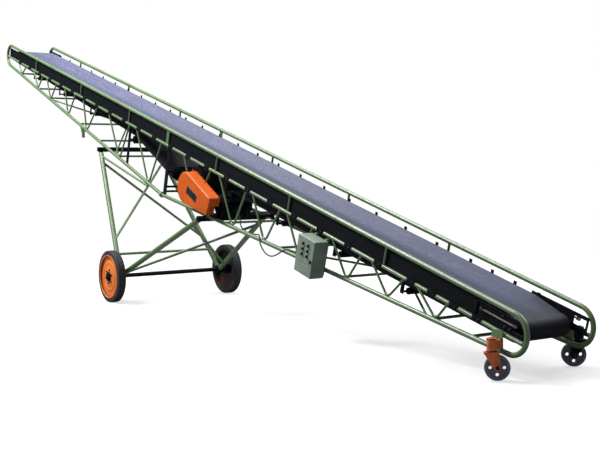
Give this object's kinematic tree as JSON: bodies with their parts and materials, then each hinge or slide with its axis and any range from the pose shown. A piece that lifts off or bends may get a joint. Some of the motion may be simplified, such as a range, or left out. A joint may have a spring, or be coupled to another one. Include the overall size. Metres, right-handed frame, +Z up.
{
  "type": "mobile belt conveyor",
  "caption": "Mobile inclined belt conveyor: a welded tube truss with a troughed belt, on road wheels with swivel casters at the feeding end.",
  "frame": {"origin": "on the floor under the middle of the machine, halfway along and across", "axes": "+X towards the low feeding end, +Y towards the far side, +Z up"},
  "size_m": [11.5076, 1.714, 3.6552],
  "materials": {
    "green_paint": "worn sage green enamel",
    "orange_paint": "orange enamel",
    "dark_steel": "dark painted steel",
    "box_paint": "grey green enamel",
    "belt_rubber": "matt rubber with a fine cross rib",
    "tyre_rubber": "solid rubber tyre",
    "caster_wheel": "grey cast wheel",
    "caster_steel": "worn orange brown paint",
    "bare_steel": "bare bright steel",
    "cable_rubber": "black sheath"
  },
  "bodies": {
    "conveyor": {"axle": "dark_steel", "belt": "belt_rubber", "bend_rollers": "dark_steel", "box_rails": "green_paint", "cable_gland": "dark_steel", "caster_plates": "green_paint", "caster_sleeve_far": "dark_steel", "caster_sleeve_near": "caster_steel", "control_box": "box_paint", "cross_ties": "green_paint", "drive_cheeks": "dark_steel", "drive_drum": "dark_steel", "drive_guard": "orange_paint", "end_bearings": "dark_steel", "end_loops": "green_paint", "end_plates": "dark_steel", "end_pulleys": "dark_steel", "front_legs": "green_paint", "idler_frames": "dark_steel", "idler_rolls": "dark_steel", "leg_beams": "dark_steel", "leg_braces": "green_paint", "lower_chords": "green_paint", "lower_splice": "green_paint", "middle_chords": "green_paint", "motor": "dark_steel", "motor_base": "dark_steel", "motor_cable": "cable_rubber", "prop_socket": "green_paint", "rail_posts": "green_paint", "rear_legs": "green_paint", "roll_brackets": "dark_steel", "side_boards": "dark_steel", "take_up_screws": "bare_steel", "top_rails": "green_paint", "web_rods": "green_paint"},
    "near_road_wheel": {"tyre_near": "tyre_rubber", "wheel_near": "orange_paint", "hub_near": "dark_steel"},
    "far_road_wheel": {"tyre_far": "tyre_rubber", "wheel_far": "orange_paint", "hub_far": "dark_steel"},
    "near_caster_fork": {"caster_fork_near": "caster_steel"},
    "far_caster_fork": {"caster_fork_far": "dark_steel"},
    "near_caster_wheel": {"caster_wheel_near": "caster_wheel"},
    "far_caster_wheel": {"caster_wheel_far": "caster_wheel"},
    "box_door": {"control_door": "box_paint", "box_buttons": "dark_steel"}
  },
  "joints": [
    {"name": "near_road_wheel_spin", "type": "hinge", "parent": "conveyor", "child": "near_road_wheel", "pos_m": [-0.66, -0.795, 0.313], "axis": [0, 1, 0], "continuous": true},
    {"name": "far_road_wheel_spin", "type": "hinge", "parent": "conveyor", "child": "far_road_wheel", "pos_m": [-0.66, 0.795, 0.313], "axis": [0, 1, 0], "continuous": true},
    {"name": "near_caster_swivel", "type": "hinge", "parent": "conveyor", "child": "near_caster_fork", "pos_m": [5.49, -0.47, 0.095], "axis": [0, 0, 1], "continuous": true},
    {"name": "near_caster_wheel_spin", "type": "hinge", "parent": "near_caster_fork", "child": "near_caster_wheel", "pos_m": [5.51586, -0.4369, 0.095], "axis": [-0.788, 0.6157, 0], "continuous": true},
    {"name": "far_caster_swivel", "type": "hinge", "parent": "conveyor", "child": "far_caster_fork", "pos_m": [5.49, 0.47, 0.095], "axis": [0, 0, 1], "continuous": true},
    {"name": "far_caster_wheel_spin", "type": "hinge", "parent": "far_caster_fork", "child": "far_caster_wheel", "pos_m": [5.46414, 0.4369, 0.095], "axis": [0.788, -0.6157, 0], "continuous": true},
    {"name": "box_door_hinge", "type": "hinge", "parent": "conveyor", "child": "box_door", "pos_m": [3.0191, -0.5295, 0.81415], "axis": [0.2706, 0, 0.9627], "range_deg": [-110, 0]}
  ]
}
